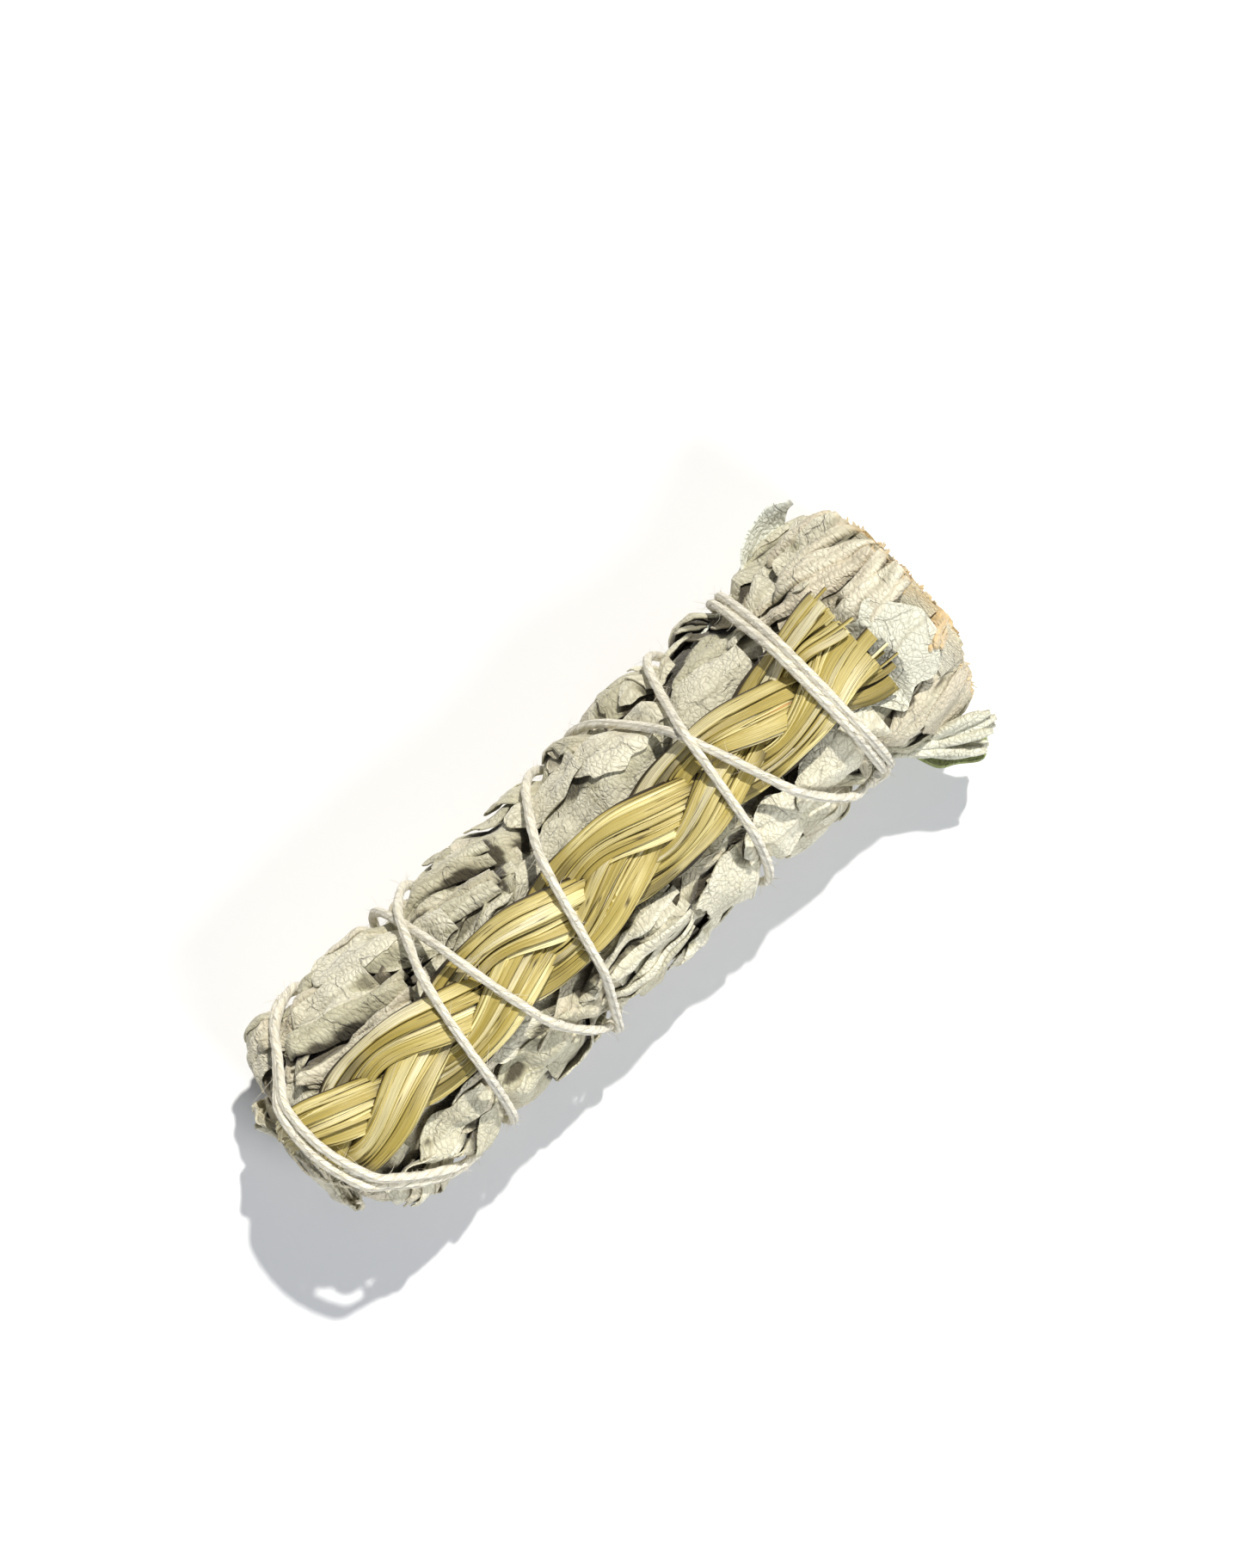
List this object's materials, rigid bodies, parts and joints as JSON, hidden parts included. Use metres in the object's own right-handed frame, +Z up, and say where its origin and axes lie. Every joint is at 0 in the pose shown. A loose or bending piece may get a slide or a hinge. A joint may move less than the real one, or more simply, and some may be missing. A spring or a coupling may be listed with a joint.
{
  "type": "sage smudge stick",
  "caption": "Dried white sage sprigs packed into a stick, with a flat sweetgrass braid along one side, wound crosswise in cotton string.",
  "frame": {"origin": "under the middle of the part's box, on the surface that it lies on", "axes": "+X along the stick from its narrow tip end to its cut end, +Y across it, +Z up, with the braid on top"},
  "size_m": [0.1051, 0.0416, 0.033],
  "materials": {
    "sage_leaf": "dry, velvety, matte leaf with net veins",
    "sage_stem": "dry woody stem",
    "green_leaf": "dry green leaf, matte",
    "sweetgrass": "dry grass blades with a satin shine along the grain",
    "cotton": "twisted unbleached cotton with loose fibres"
  },
  "bodies": {
    "root": {"sage_sprig_1": "sage_leaf", "sage_sprig_2": "sage_leaf", "sage_sprig_3": "sage_leaf", "sage_sprig_4": "sage_leaf", "sage_sprig_5": "sage_leaf", "sage_sprig_6": "sage_leaf", "sage_stem_1": "sage_stem", "sage_stem_2": "sage_stem", "sage_stem_3": "sage_stem", "sage_stem_4": "sage_stem", "sage_stem_5": "sage_stem", "sage_stem_6": "sage_stem", "side_sprig": "sage_leaf", "loose_leaf": "sage_leaf", "side_green_leaf": "green_leaf", "sweetgrass_strand_1": "sweetgrass", "sweetgrass_strand_2": "sweetgrass", "sweetgrass_strand_3": "sweetgrass", "cotton_string": "cotton"}
  },
  "joints": []
}
